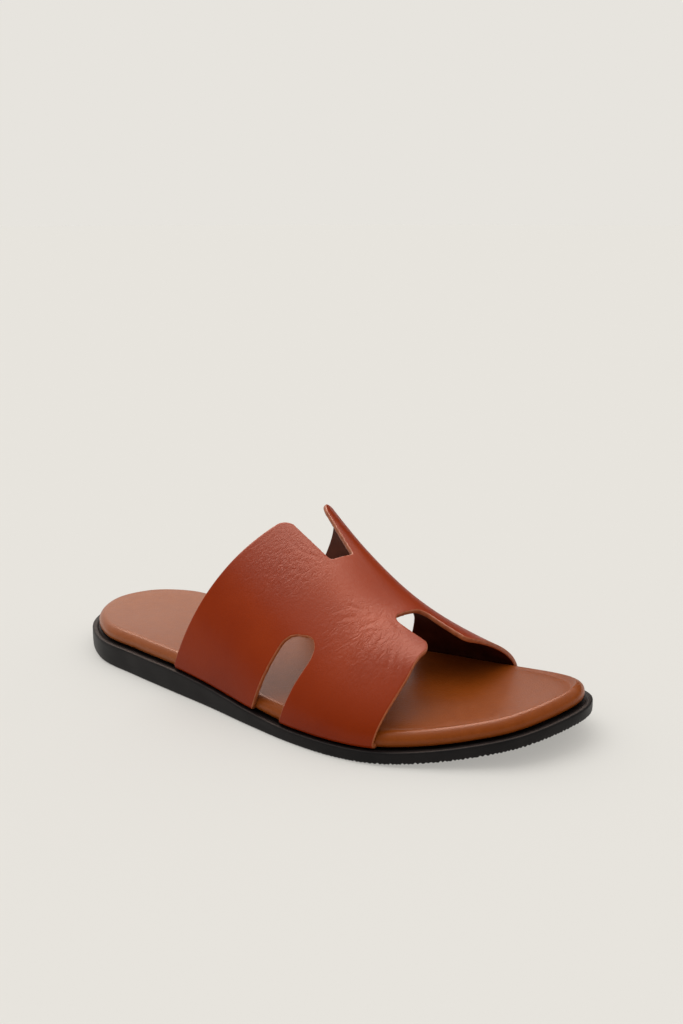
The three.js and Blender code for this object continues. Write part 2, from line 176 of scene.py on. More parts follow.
def sole_top(x):
    """The height of the sole's upper face."""
    thinned = smooth(x / LENGTH, THINS_FROM, THINS_TO)
    return HEEL_THICKNESS + (FORE_THICKNESS - HEEL_THICKNESS) * thinned + lift(x)


def with_height(ring, height):
    """A flat ring's points with one height, or a height each, added."""
    return np.column_stack([ring, np.broadcast_to(height, len(ring))])


lateral_edge, medial_edge = two_sides(edge_ring(2000))


def towards_spine(ring, share):
    """A ring drawn in on the line down the middle of the sole."""
    x = np.clip(ring[:, 0], SPINE_FROM * LENGTH, SPINE_TO * LENGTH)
    lateral_y = np.interp(x, lateral_edge[:, 0], lateral_edge[:, 1])
    medial_y = np.interp(x, medial_edge[:, 0], medial_edge[:, 1])
    spine = np.column_stack([x, (lateral_y + medial_y) / 2])
    return spine + (ring - spine) * share


def add_mesh(name, points, faces, materials, face_materials=None):
    """A smooth-shaded object from points in millimetres, that rides on the body."""
    mesh = bpy.data.meshes.new(name)
    mesh.from_pydata((np.asarray(points) + to_row) * MM, [], faces)
    for material in materials:
        mesh.materials.append(material)
    if face_materials is not None:
        mesh.polygons.foreach_set("material_index", face_materials)
    mesh.polygons.foreach_set("use_smooth", [True] * len(mesh.polygons))
    mesh.update()
    thing = bpy.data.objects.new(name, mesh)
    bpy.context.scene.collection.objects.link(thing)
    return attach(thing, "root")


def ring_faces(count, rows):
    """Quads between closed rings of count points each."""
    i = np.arange(count)
    j = (i + 1) % count
    band = np.column_stack([i, j, j + count, i + count])
    return np.vstack([band + k * count for k in range(rows - 1)]).tolist()


def linear(colour):
    """An sRGB hex colour as linear red, green, blue and alpha."""
    values = [int(colour[i:i + 2], 16) / 255 for i in (1, 3, 5)]
    return [v / 12.92 if v <= 0.04045 else ((v + 0.055) / 1.055) ** 2.4 for v in values] + [1]


def add_node(tree, kind, inputs=None, **settings):
    """A shader node with its settings, and with each input linked to a socket or given a plain value."""
    node = tree.nodes.new("ShaderNode" + kind)
    for key, value in settings.items():
        setattr(node, key, value)
    for key, value in (inputs or {}).items():
        if isinstance(value, bpy.types.NodeSocket):
            tree.links.new(value, node.inputs[key])
        else:
            node.inputs[key].default_value = value
    return node


def new_material(name):
    """An empty material, its node tree and its coordinates in metres."""
    material = bpy.data.materials.new(name)
    material.use_nodes = True
    tree = material.node_tree
    tree.nodes.clear()
    return material, tree, add_node(tree, "TexCoord").outputs["Object"]


# Moulded black rubber: nearly black, with a weak, broad shine and a faint mottle where it has been handled.
# The mould's own texture is about 0.1 mm fine, and is drawn 0.7 mm coarse so that it shows.
rubber, tree, place = new_material("black rubber")
mottle = add_node(tree, "TexNoise", {"Vector": place, "Scale": 1 / (11.1 * MM), "Detail": 3})
worn = add_node(tree, "MapRange", {"Value": mottle.outputs[0], "From Min": 0.3, "From Max": 0.7})
colour = add_node(tree, "MixRGB", {
    "Fac": worn.outputs[0], "Color1": linear("#161415"), "Color2": linear("#1f1c1c"),
})
texture = add_node(tree, "TexNoise", {"Vector": place, "Scale": 1 / (0.714 * MM), "Detail": 2})
bump = add_node(tree, "Bump", {"Height": texture.outputs[0], "Strength": 0.12, "Distance": 0.2 * MM})
shader = add_node(tree, "BsdfPrincipled", {
    "Base Color": colour.outputs[0], "Normal": bump.outputs[0],
    "Roughness": 0.46, "Specular IOR Level": 0.14,
})
add_node(tree, "OutputMaterial", {"Surface": shader.outputs[0]})

SOLE_COUNT = 1400
sole_x = edge_ring(SOLE_COUNT)[:, 0]
to_fore = smooth(sole_x, 0, 0.2 * LENGTH)
lower_radius = HEEL_LOWER_RADIUS + (FORE_LOWER_RADIUS - HEEL_LOWER_RADIUS) * to_fore

# Teeth are 4 places, about 2 mm, long. Slow waves that don't repeat together make them and the wall uneven.
place_round = np.arange(SOLE_COUNT)
uneven = 0.62 + 0.38 * np.sin(place_round * 0.83) * np.sin(place_round * 0.291)
drift = 0.3 * np.sin(place_round * 0.13)
teeth = np.abs((place_round / 4 + drift) % 1 * 2 - 1) * uneven
teeth *= HEEL_TOOTH + (TOE_TOOTH - HEEL_TOOTH) * smooth(sole_x, 0.6 * LENGTH, 0.85 * LENGTH)
wave = WALL_WAVE * np.sin(place_round * 0.11) * np.sin(place_round * 0.037)

# rings from the middle of the underside out, up the wall and in over the upper face to its middle
FACE_INSET = 5
rings = []
for share in (0, 0.3, 0.6, 0.85):
    ring = towards_spine(edge_ring(SOLE_COUNT, FACE_INSET), share)
    rings.append(with_height(ring, lift(ring[:, 0])))
for inset, notched in ((6, 0), (lower_radius + 1.2, 1), (lower_radius, 1)):
    rings.append(with_height(edge_ring(SOLE_COUNT, inset), lift(sole_x) + notched * teeth))
for k in range(1, 6):
    turn = k / 5 * math.pi / 2
    fading = teeth * (1 - k / 6)
    ring = edge_ring(SOLE_COUNT, lower_radius * (1 - math.sin(turn)) + fading)
    rings.append(with_height(ring, lift(sole_x) + lower_radius * (1 - math.cos(turn)) + fading))
for share in (0.3, 0.6, 0.85):
    low = lift(sole_x) + lower_radius
    height = low + (sole_top(sole_x) - UPPER_RADIUS - low) * share
    rings.append(with_height(edge_ring(SOLE_COUNT, -wave * math.sin(share * math.pi)), height))
for k in range(4):
    turn = k / 3 * math.pi / 2
    ring = edge_ring(SOLE_COUNT, UPPER_RADIUS * (1 - math.cos(turn)))
    rings.append(with_height(ring, sole_top(sole_x) - UPPER_RADIUS * (1 - math.sin(turn))))
for inset, sunk in (
    (1.6, 0), (LEDGE - 0.9, 0), (LEDGE - 0.5, GROOVE_DEPTH), (LEDGE - 0.2, GROOVE_DEPTH),
    (LEDGE + 2, GROOVE_DEPTH), (LEDGE + 6, 0),
):
    rings.append(with_height(edge_ring(SOLE_COUNT, inset), sole_top(sole_x) - sunk))
for share in (0.6, 0.3, 0):
    ring = towards_spine(edge_ring(SOLE_COUNT, FACE_INSET), share)
    rings.append(with_height(ring, sole_top(ring[:, 0])))
outsole = add_mesh("outsole_rubber", np.vstack(rings), ring_faces(SOLE_COUNT, len(rings)), [rubber])
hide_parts("outsole")

# Footbed: caramel calf leather drawn over a firm board, with a wide rolled edge and a shallow heel cup. The
# real one is glued on the sole inside its ledge, over the strap's turned-in ends. Here those ends run on
# inside it.
FOOTBED_THICKNESS = 6.8
FOOTBED_EDGE_RADIUS = 4.2
HEEL_CUP_DEPTH = 1.2
CROWN = 0.25
CLEARANCE = 0.3


def footbed_top(x):
    """The height of the footbed's upper face."""
    return sole_top(x) + CLEARANCE + FOOTBED_THICKNESS


BED_COUNT = 720
bed_x = edge_ring(BED_COUNT)[:, 0]
underside = [(LEDGE + 9, 0.2), (LEDGE + 1.4, 0.2), (LEDGE + 0.5, 0.5), (LEDGE + 0.15, 1.1), (LEDGE, 1.8)]
rings = []
for inset, height in underside:
    rings.append(with_height(edge_ring(BED_COUNT, inset), sole_top(bed_x) + CLEARANCE + height))
for k in range(13):
    turn = k / 12 * math.pi / 2
    inset = LEDGE + FOOTBED_EDGE_RADIUS * (1 - math.cos(turn))
    height = FOOTBED_THICKNESS - FOOTBED_EDGE_RADIUS * (1 - math.sin(turn))
    rings.append(with_height(edge_ring(BED_COUNT, inset), sole_top(bed_x) + CLEARANCE + height))
rim = edge_ring(BED_COUNT, LEDGE + FOOTBED_EDGE_RADIUS)
for share in (0.97, 0.93, 0.88, 0.82, 0.75, 0.67, 0.58, 0.48, 0.38, 0.28, 0.18, 0.09, 0):
    ring = towards_spine(rim, share)
    crown = CROWN * smooth(1 - share, 0, 0.2)
    behind = 1 - smooth(ring[:, 0], 0, 0.5 * LENGTH)
    cup = (HEEL_CUP_DEPTH + CROWN) * behind * (1 - share * share)
    rings.append(with_height(ring, footbed_top(ring[:, 0]) + crown - cup))

# Waxed calf leather: a warm caramel with painted light, lighter at the heel as a painted sheen and darker and
# redder towards the toe as painted shade, with soft, wide blotches and a satin shine that breaks up over the
# grain. The pores are about 0.3 mm apart, too fine to show, and are drawn 0.8 mm apart.
caramel, tree, place = new_material("caramel leather")
blotches = add_node(tree, "TexNoise", {"Vector": place, "Scale": 1 / (71.4 * MM), "Detail": 4})
flecks = add_node(tree, "TexNoise", {"Vector": place, "Scale": 1 / (3.85 * MM), "Detail": 3})
added = add_node(tree, "Math", {0: blotches.outputs[0], 1: flecks.outputs[0]}, operation="ADD")
halved = add_node(tree, "Math", {0: added.outputs[0], 1: 0.5}, operation="MULTIPLY")
lighter = add_node(tree, "MapRange", {"Value": halved.outputs[0], "From Min": 0.25, "From Max": 0.75})
# painted light: the heel's tones are lighter as a painted sheen, the toe's darker and redder as painted shade
lit_heel_tone = add_node(tree, "MixRGB", {
    "Fac": lighter.outputs[0], "Color1": linear("#9a5227"), "Color2": linear("#ac6439"),
})
shaded_toe_tone = add_node(tree, "MixRGB", {
    "Fac": lighter.outputs[0], "Color1": linear("#893f0d"), "Color2": linear("#9b4d19"),
})
along = add_node(tree, "SeparateXYZ", {"Vector": place})
# a ramp from heel to toe that blends the painted sheen into the painted shade, and thins the coat towards the
# toe
toe_shade_ramp = add_node(tree, "MapRange", {
    "Value": along.outputs["X"], "From Min": -130 * MM, "From Max": 30 * MM,
})
colour = add_node(tree, "MixRGB", {
    "Fac": toe_shade_ramp.outputs[0], "Color1": lit_heel_tone.outputs[0], "Color2": shaded_toe_tone.outputs[0],
})
rough = add_node(tree, "MapRange", {"Value": flecks.outputs[0], "To Min": 0.3, "To Max": 0.4})
wax = add_node(tree, "MapRange", {"Value": toe_shade_ramp.outputs[0], "To Min": 0.3, "To Max": 0.12})
pores = add_node(tree, "TexVoronoi", {"Vector": place, "Scale": 1 / (0.769 * MM)})
pore_bump = add_node(tree, "Bump", {
    "Height": pores.outputs["Distance"], "Strength": 0.4, "Distance": 0.2 * MM,
})
soft = add_node(tree, "TexNoise", {"Vector": place, "Scale": 1 / (2 * MM), "Detail": 4})
bump = add_node(tree, "Bump", {
    "Height": soft.outputs[0], "Normal": pore_bump.outputs[0], "Strength": 0.12, "Distance": 0.4 * MM,
})
shader = add_node(tree, "BsdfPrincipled", {
    "Base Color": colour.outputs[0], "Normal": bump.outputs[0], "Roughness": rough.outputs[0],
    "Specular IOR Level": 0.12, "Coat Weight": wax.outputs[0], "Coat Roughness": 0.18,
})
add_node(tree, "OutputMaterial", {"Surface": shader.outputs[0]})

footbed = add_mesh("footbed_leather", np.vstack(rings), ring_faces(BED_COUNT, len(rings)), [caramel])
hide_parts("footbed")

# Upper: one strap of smooth cognac calf leather, 2.2 mm thick with its brown lining, stretched over a last.
# It is cut with a notch in its rear and front edge and a slot in each side, and its cut edges are dyed
# lighter. The real one is held by its turned-in ends, between footbed and sole.
INSTEP_HEIGHT = 84.5
WALL = 2.2
BEND = 2.4
LATERAL_FULLNESS = 2.15
MEDIAL_FULLNESS = 2.0

# sections from rear to front edge: ridge height as a share of the instep height, then ridge side and the
# swell of each side as shares of the ball width
STRAP = np.array([
    (0.00, 1.000, 0.230, 0.036, 0.161),
    (0.33, 0.803, 0.104, 0.008, 0.045),
    (0.67, 0.600, -0.027, -0.021, -0.012),
    (1.00, 0.475, -0.156, -0.050, -0.045),
])
# edges from the lateral base over the top to the medial base: rear and front, as shares of the length
EDGES = np.array([
    (0.00, 0.327, 0.762),
    (0.25, 0.412, 0.777),
    (0.50, 0.452, 0.775),
    (0.75, 0.424, 0.798),
    (1.00, 0.379, 0.811),
])
# cut-outs in millimetres and degrees: a notch's mouth is given by its two places around the strap, its
# floor by its depth, its shift towards the medial side, its width and its turn; a notch reaches down to its
# lowest height
REAR_NOTCH = dict(
    lateral=0.41, medial=0.503, depth=31, aside=-12, floor=13.6, turn=-14,
    floor_radius=1.6, flap_radius=9, lowest=30,
)
FRONT_NOTCH = dict(
    lateral=0.507, medial=0.645, depth=25, aside=3.1, floor=22.5, turn=-7,
    floor_radius=5, flap_radius=5.5, lowest=20,
)
LATERAL_SLOT = dict(along=0.554, width=17.8, height=36.8, lean=20, top_radius=6.5)
MEDIAL_SLOT = dict(along=0.562, width=19, height=32.4, lean=18, top_radius=7)


def column(rows, k):
    """A smooth curve through column k of a table, read at any place of its first column."""
    x, y = rows[:, 0], rows[:, k]
    slope = np.diff(y) / np.diff(x)
    wide = np.diff(x)
    inner = (slope[:-1] * wide[1:] + slope[1:] * wide[:-1]) / (wide[:-1] + wide[1:])
    first = 1.5 * slope[0] - 0.5 * inner[0]
    last = 1.5 * slope[-1] - 0.5 * inner[-1]
    tangent = np.concatenate([[first], inner, [last]])

    def curve(at):
        i = np.clip(np.searchsorted(x, at, side="right") - 1, 0, len(x) - 2)
        t = (at - x[i]) / wide[i]
        return (
            (2 * t**3 - 3 * t**2 + 1) * y[i] + (t**3 - 2 * t**2 + t) * wide[i] * tangent[i]
            + (3 * t**2 - 2 * t**3) * y[i + 1] + (t**3 - t**2) * wide[i] * tangent[i + 1]
        )
    return curve


ridge_height, ridge_side, lateral_swell, medial_swell = (column(STRAP, k) for k in range(1, 5))
rear_edge, front_edge = column(EDGES, 1), column(EDGES, 2)
lateral_base, medial_base = two_sides(edge_ring(3000, LEDGE - CLEARANCE - WALL))


def strap_length(around):
    """The strap's length from rear to front edge in millimetres, at a place around it."""
    return (front_edge(around) - rear_edge(around)) * LENGTH


def strap_point(along, around):
    """Outer face of the strap. Along is 0 at the rear edge and 1 at the front edge. Around is 0 at the
    lateral base and 1 at the medial base, and beyond them goes on round the bend and inward in millimetres."""
    beyond = np.maximum(-around, around - 1).clip(0)
    inside = np.clip(around, 0, 1)
    x = rear_edge(inside) * LENGTH + strap_length(inside) * along
    lateral = inside < 0.5
    turn = inside * math.pi
    power = 2 / np.where(lateral, LATERAL_FULLNESS, MEDIAL_FULLNESS)
    out = np.abs(np.cos(turn)) ** power
    up = np.abs(np.sin(turn)) ** power
    swell = np.where(lateral, -lateral_swell(along), medial_swell(along)) * BALL_WIDTH
    swell = swell * np.sin(2 * turn) ** 2
    lateral_y = np.interp(x, lateral_base[:, 0], lateral_base[:, 1])
    medial_y = np.interp(x, medial_base[:, 0], medial_base[:, 1])
    base_y = np.where(lateral, lateral_y, medial_y)
    ridge_y = ridge_side(along) * BALL_WIDTH
    base_z = sole_top(x) + CLEARANCE + BEND
    bend_length = BEND * math.pi / 2
    bend = np.clip(beyond / bend_length, 0, 1) * math.pi / 2
    under = (beyond - bend_length).clip(0)
    inward = np.where(lateral, 1, -1)
    y = ridge_y + (base_y - ridge_y) * out + swell + inward * (BEND * (1 - np.cos(bend)) + under)
    z = base_z + (ridge_height(along) * INSTEP_HEIGHT - base_z) * up - BEND * np.sin(bend)
    return np.stack([x, y, z], -1)


def strap_normal(along, around):
    """Outward normal of the strap's face, from points a small step apart."""
    step = 0.003
    step_in_mm = 0.05
    ahead = strap_point(np.minimum(1, along + step), around)
    behind = strap_point(np.maximum(0, along - step), around)
    wide = np.where((around <= 0) | (around >= 1), step_in_mm, step)
    across = strap_point(along, around + wide) - strap_point(along, around - wide)
    normal = np.cross(ahead - behind, across)
    return normal / np.linalg.norm(normal, axis=-1)[..., None]


def rounded_corners(corners, steps=10):
    """Points round a polygon of (x, y, radius) corners."""
    rows = []
    for i in range(len(corners)):
        at, radius = np.array(corners[i][:2], float), corners[i][2]
        if radius == 0:
            rows.append(at)
            continue
        back = np.array(corners[i - 1][:2]) - at
        ahead = np.array(corners[(i + 1) % len(corners)][:2]) - at
        back, ahead = back / np.linalg.norm(back), ahead / np.linalg.norm(ahead)
        half = math.acos(np.clip(back @ ahead, -1, 1)) / 2
        middle = (back + ahead) / np.linalg.norm(back + ahead)
        centre = at + middle * radius / math.sin(half)
        start = at + back * radius / math.tan(half) - centre
        end = at + ahead * radius / math.tan(half) - centre
        sweep = math.atan2(start[0] * end[1] - start[1] * end[0], start @ end)
        for k in range(steps + 1):
            c, s = math.cos(sweep * k / steps), math.sin(sweep * k / steps)
            rows.append(centre + np.array([start[0] * c - start[1] * s, start[0] * s + start[1] * c]))
    return np.array(rows)


def distance_to(polygon, points):
    """Signed distance to a closed polygon, below 0 inside."""
    best = np.full(len(points), np.inf)
    inside = np.zeros(len(points), bool)
    for a, b in zip(polygon, np.roll(polygon, -1, 0)):
        edge = b - a
        if not edge.any():
            continue
        t = np.clip(((points - a) @ edge) / (edge @ edge), 0, 1)
        best = np.minimum(best, np.linalg.norm(points - a - t[:, None] * edge, axis=1))
        crosses = (a[1] > points[:, 1]) != (b[1] > points[:, 1])
        with np.errstate(divide="ignore", invalid="ignore"):
            crossing_x = (b[0] - a[0]) * (points[:, 1] - a[1]) / (b[1] - a[1]) + a[0]
            inside ^= crosses & (points[:, 0] < crossing_x)
    return np.where(inside, -best, best)


def notch_plan(notch, along):
    """A notch from above: which way is inward, then the ends of its mouth and the ends of its floor."""
    lateral, medial = (strap_point(along, np.array(notch[side]))[:2] for side in ("lateral", "medial"))
    inward = 1 if along == 0 else -1
    turn = math.radians(notch["turn"])
    half = np.array([-math.sin(turn), math.cos(turn)]) * notch["floor"] / 2
    floor = (lateral + medial) / 2 + (inward * notch["depth"], notch["aside"])
    return inward, lateral, medial, floor - half, floor + half


def notch_shape(notch, along):
    """A notch's edge seen from above, drawn on past the strap's edge."""
    inward, lateral, medial, floor_lateral, floor_medial = notch_plan(notch, along)
    past = 2 * notch["flap_radius"] * inward
    return rounded_corners([
        (lateral[0] - past, lateral[1], 0), (*lateral, 0),
        (*floor_lateral, notch["floor_radius"]), (*floor_medial, notch["floor_radius"]),
        (*medial, 0), (medial[0] - past, medial[1], 0),
    ])


def slot_shape(slot):
    """A slot's edge seen from the side, drawn on below the strap's base."""
    x, lean = slot["along"] * LENGTH, math.tan(math.radians(slot["lean"]))
    floor, half, shift = sole_top(x), slot["width"] / 2, lean * slot["height"]
    below = 12
    return rounded_corners([
        (x - half - lean * below, floor - below, 0), (x + half - lean * below, floor - below, 0),
        (x + half + shift, floor + slot["height"], slot["top_radius"]),
        (x - half + shift, floor + slot["height"], slot["top_radius"]),
    ])


class Flaps:
    """The rounded corners of the two flaps beside a notch, in millimetres round the strap's edge."""

    def __init__(self, notch, along):
        self.radius = notch["flap_radius"]
        self.places = np.linspace(0, 1, 2001)
        steps = np.linalg.norm(np.diff(strap_point(float(along), self.places), axis=0), axis=1)
        self.length_to = np.concatenate([[0], np.cumsum(steps)])
        inward, lateral, medial, floor_lateral, floor_medial = notch_plan(notch, along)
        near_top = self.places[600:1601]  # from 0.3 to 0.8 of the way round, where both flaps are
        point = strap_point(abs(along - self.radius / strap_length(near_top)), near_top)
        self.sides = []
        for start, end in ((lateral, floor_lateral), (medial, floor_medial)):
            to_end, to_point = end - start, point[:, :2] - start
            across = to_end[0] * to_point[:, 1] - to_end[1] * to_point[:, 0]
            side = near_top[np.argmax(across * inward >= 0)]
            self.sides.append(np.interp(side, self.places, self.length_to))

    def trim(self, around):
        """How much is trimmed off the strap's edge there, as a share of the way along."""
        at = np.interp(around, self.places, self.length_to)
        outside = np.maximum(self.sides[0] - at, at - self.sides[1])
        into = np.clip(self.radius - outside, 0, self.radius)
        cut = self.radius - np.sqrt(self.radius**2 - into**2)
        return cut / strap_length(np.clip(around, 0, 1))

    def corner_places(self, steps=14):
        """Places around the strap at even turns of both rounded corners."""
        reach = self.radius * (1 - np.sin(np.linspace(0, math.pi / 2, steps)))
        at = np.concatenate([self.sides[0] - reach, self.sides[1] + reach])
        return np.interp(at, self.length_to, self.places)


# a grid over the whole sheet, with more lines at the flaps' corners; its ends run on inward, and its edges
# stop short by what the rounded cut edge bulges out
INWARD_END = 9
EDGE_BULGE = 0.45
ALONG_STEPS, AROUND_STEPS, END_STEPS = 132, 230, 8
rear_flaps, front_flaps = Flaps(REAR_NOTCH, 0), Flaps(FRONT_NOTCH, 1)
wall_line = np.concatenate([
    np.linspace(0, 1, AROUND_STEPS), rear_flaps.corner_places(), front_flaps.corner_places(),
])
wall_line.sort()
far_enough = np.diff(wall_line) > 0.1 / AROUND_STEPS
wall_line = wall_line[np.concatenate([[True], far_enough])]
end_line = np.linspace(0.6, INWARD_END, END_STEPS)
around_line = np.concatenate([-end_line[::-1], wall_line, 1 + end_line])
edge_inset = EDGE_BULGE / strap_length(np.clip(around_line, 0, 1))
from_along = rear_flaps.trim(around_line) + edge_inset
to_along = 1 - front_flaps.trim(around_line) - edge_inset
t = np.linspace(0, 1, ALONG_STEPS)
along_grid = from_along[None] + (to_along - from_along)[None] * t[:, None]
around_grid = np.broadcast_to(around_line, along_grid.shape)
spots = np.column_stack([along_grid.ravel(), around_grid.ravel()])

# each spot's distance to the nearest cut-out that can reach it, less the cut edge's bulge
OUT_OF_REACH = 99
flat = strap_point(spots[:, 0], spots[:, 1])
from_above, from_side = flat[:, :2], flat[:, [0, 2]]
on_lateral, on_medial = spots[:, 1] < 0.5, spots[:, 1] > 0.5
keep = np.minimum.reduce([
    distance_to(shape, seen) + np.where(can_reach, 0, OUT_OF_REACH)
    for shape, seen, can_reach in (
        (notch_shape(REAR_NOTCH, 0), from_above, flat[:, 2] > REAR_NOTCH["lowest"]),
        (notch_shape(FRONT_NOTCH, 1), from_above, flat[:, 2] > FRONT_NOTCH["lowest"]),
        (slot_shape(LATERAL_SLOT), from_side, on_lateral),
        (slot_shape(MEDIAL_SLOT), from_side, on_medial),
    )
]) - EDGE_BULGE

# faces of the sheet, cut along the line where that distance is 0; spots nearer than SNAP count as on it
SNAP = 0.12
keep = np.where(np.abs(keep) < SNAP, 0, keep)
width = len(around_line)
i, j = np.meshgrid(np.arange(ALONG_STEPS - 1), np.arange(width - 1), indexing="ij")
a = (i * width + j).ravel()
quads = np.column_stack([a, a + width, a + width + 1, a + 1])
new_spots, cut_at, faces = list(map(tuple, spots)), {}, []


def cut_point(p, q):
    """The place between two spots where the cut-out's edge crosses."""
    key = (min(p, q), max(p, q))
    if key not in cut_at:
        share = keep[p] / (keep[p] - keep[q])
        cut_at[key] = len(new_spots)
        new_spots.append(tuple(spots[p] + (spots[q] - spots[p]) * share))
    return cut_at[key]


for quad in quads:
    signs = keep[quad]
    if (signs >= 0).all() and (signs > 0).any():
        faces.append(tuple(quad))
    elif (signs > 0).any():
        for tri in ((quad[0], quad[1], quad[2]), (quad[0], quad[2], quad[3])):
            polygon = []
            for k in range(3):
                p, q = tri[k], tri[(k + 1) % 3]
                if keep[p] >= 0:
                    polygon.append(p)
                if keep[p] * keep[q] < 0:
                    polygon.append(cut_point(p, q))
            if len(polygon) >= 3 and any(keep[p] > 0 for p in tri):
                faces.append(tuple(polygon))

spots = np.array(new_spots)
used = np.unique(np.concatenate([np.array(f) for f in faces]))
number = np.full(len(spots), -1)
number[used] = np.arange(len(used))
faces = [tuple(int(number[k]) for k in f) for f in faces]
spots = spots[used]
outer = strap_point(spots[:, 0], spots[:, 1])
normals = strap_normal(spots[:, 0], spots[:, 1])

# sides that only one face uses are the strap's rim, and are joined into loops
seen = {}
for f in faces:
    for k in range(len(f)):
        p, q = f[k], f[(k + 1) % len(f)]
        seen.setdefault((min(p, q), max(p, q)), []).append((p, q))
rim = dict(found[0] for found in seen.values() if len(found) == 1)
loops = []
while rim:
    start, at = next(iter(rim.items()))
    del rim[start]
    loop = [start]
    while at != start and at in rim:
        loop.append(at)
        at = rim.pop(at)
    loops.append(np.array(loop))

# creases of the bent leather, picked on the photograph, as soft troughs with a low swell on both
# sides: both ends from above, in whole millimetres from the heel and from the middle line, and depth
CREASES = [
    (208, -30, 213, -44, 0.13),
    (210, -27, 218, -43, 0.11),
    (206, -18, 198, -15, 0.10),
    (197, -26, 198, -38, 0.12),
    (194, -29, 197, -40, 0.10),
    (200, -25, 202, -35, 0.12),
    (185, -25, 179, -32, 0.09),
    (184, -20, 178, -22, 0.08),
    (194, -20, 190, -28, 0.10),
    (200, -38, 205, -43, 0.10),
    (137, -10, 146, -12, 0.10),
    (140, -8, 147, -9, 0.09),
    (146, -23, 153, -21, 0.09),
    (145, -11, 154, -9, 0.10),
]
CREASE_WIDTH = 1
SWELL_SHARE, SWELL_APART = 0.45, 2.1
sunk = np.zeros(len(outer))
for x0, y0, x1, y1, depth in CREASES:
    start, reach = np.array([x0, y0]), np.array([x1 - x0, y1 - y0])
    share = np.clip((outer[:, :2] - start) @ reach / (reach @ reach), 0, 1)
    apart = np.linalg.norm(outer[:, :2] - start - share[:, None] * reach, axis=1) / CREASE_WIDTH
    taper = np.sin(np.clip(share, 0.12, 0.88) * math.pi)
    trough = np.exp(-apart**2) - SWELL_SHARE * np.exp(-(apart - SWELL_APART) ** 2)
    sunk += depth * taper * trough
outer = outer - normals * sunk[:, None]

# the sheet's outer and inner face, and round each rim loop a rounded cut edge between them, given by how
# far down from the outer face and how far out of the cut each row of it lies
CUT_EDGE = [(0.08, 0.16), (0.3, 0.33), (0.65, 0.42), (1.1, 0.45), (1.55, 0.42), (1.9, 0.33), (2.12, 0.16)]
SHARP_TURN = 3
count = len(outer)
points = [outer, outer - normals * WALL]
all_faces = list(faces) + [tuple(k + count for k in f[::-1]) for f in faces]
slots = [0] * len(faces) + [1] * len(faces)
base = 2 * count
for loop in loops:
    ring = outer[loop]
    for _ in range(3):
        before, after = np.roll(ring, 1, 0), np.roll(ring, -1, 0)
        close = np.linalg.norm(before - after, axis=1) < SHARP_TURN
        ring = np.where(close[:, None], (before + ring * 2 + after) / 4, ring)
    tangent = np.roll(ring, -1, 0) - np.roll(ring, 1, 0)
    out = np.cross(tangent, normals[loop])
    out /= np.linalg.norm(out, axis=1)[:, None] + 1e-9
    rows = [loop]
    for down, outward in CUT_EDGE:
        points.append(outer[loop] - normals[loop] * down + out * outward)
        rows.append(np.arange(base, base + len(loop)))
        base += len(loop)
    rows.append(loop + count)
    for upper_row, lower_row in zip(rows, rows[1:]):
        for k in range(len(loop)):
            n = (k + 1) % len(loop)
            all_faces.append((int(upper_row[n]), int(upper_row[k]), int(lower_row[k]), int(lower_row[n])))
            slots.append(2)

# Smooth dyed calf with a light finish: a deep red-brown with painted light, lighter towards the top as painted
# light and darker low down as painted shade, with soft blotches and a broad satin sheen under a thin gloss.
# The pores are about 0.3 mm apart, too fine to show, and are drawn 0.9 mm apart.
cognac, tree, place = new_material("cognac calf leather")
blotches = add_node(tree, "TexNoise", {"Vector": place, "Scale": 1 / (55.6 * MM), "Detail": 4})
lighter = add_node(tree, "MapRange", {"Value": blotches.outputs[0], "From Min": 0.35, "From Max": 0.65})
# painted light and shade: darker tones for the low part of the strap, lighter tones for its top
shaded_low_tone = add_node(tree, "MixRGB", {
    "Fac": lighter.outputs[0], "Color1": linear("#7f2402"), "Color2": linear("#8c2c05"),
})
lit_high_tone = add_node(tree, "MixRGB", {
    "Fac": lighter.outputs[0], "Color1": linear("#962f02"), "Color2": linear("#a63a08"),
})
height = add_node(tree, "SeparateXYZ", {"Vector": place})
# painted light and shade: the colour gets lighter with height, from 8 mm to 48 mm
top_light_mask = add_node(tree, "MapRange", {"Value": height.outputs["Z"], "From Min": 8 * MM, "From Max": 48 * MM})
colour = add_node(tree, "MixRGB", {
    "Fac": top_light_mask.outputs[0], "Color1": shaded_low_tone.outputs[0], "Color2": lit_high_tone.outputs[0],
})
flecks = add_node(tree, "TexNoise", {"Vector": place, "Scale": 1 / (3.33 * MM), "Detail": 4})
rough = add_node(tree, "MapRange", {"Value": flecks.outputs[0], "To Min": 0.32, "To Max": 0.42})

# fine crinkles, strands 2.5 mm apart drawn out sideways, across the two places where the strap bends most:
# beside the front and the rear notch, each with its centre and reach in metres and its turn in radians
FRONT_BEND = (0.055, -0.024, 0.044), 0.0345, -0.4
REAR_BEND = (0.0, -0.016, 0.066), 0.0299, 1.35
crinkle = None
for centre, reach, turn in (FRONT_BEND, REAR_BEND):
    away = add_node(tree, "VectorMath", {0: place, 1: centre}, operation="DISTANCE")
    near = add_node(tree, "MapRange", {"Value": away.outputs["Value"], "From Min": reach, "From Max": 0})
    turned = add_node(tree, "Mapping", {"Vector": place, "Rotation": (0, 0, turn), "Scale": (1, 0.42, 0.7)})
    strands = add_node(tree, "TexNoise", {
        "Vector": turned.outputs[0], "Scale": 1 / (2.5 * MM), "Detail": 4, "Distortion": 1.6,
    })
    folds = add_node(tree, "MapRange", {"Value": strands.outputs[0], "From Min": 0.36, "From Max": 0.6})
    masked = add_node(tree, "Math", {0: folds.outputs[0], 1: near.outputs[0]}, operation="MULTIPLY")
    if crinkle:
        masked = add_node(tree, "Math", {0: masked.outputs[0], 1: crinkle.outputs[0]}, operation="ADD")
    crinkle = masked
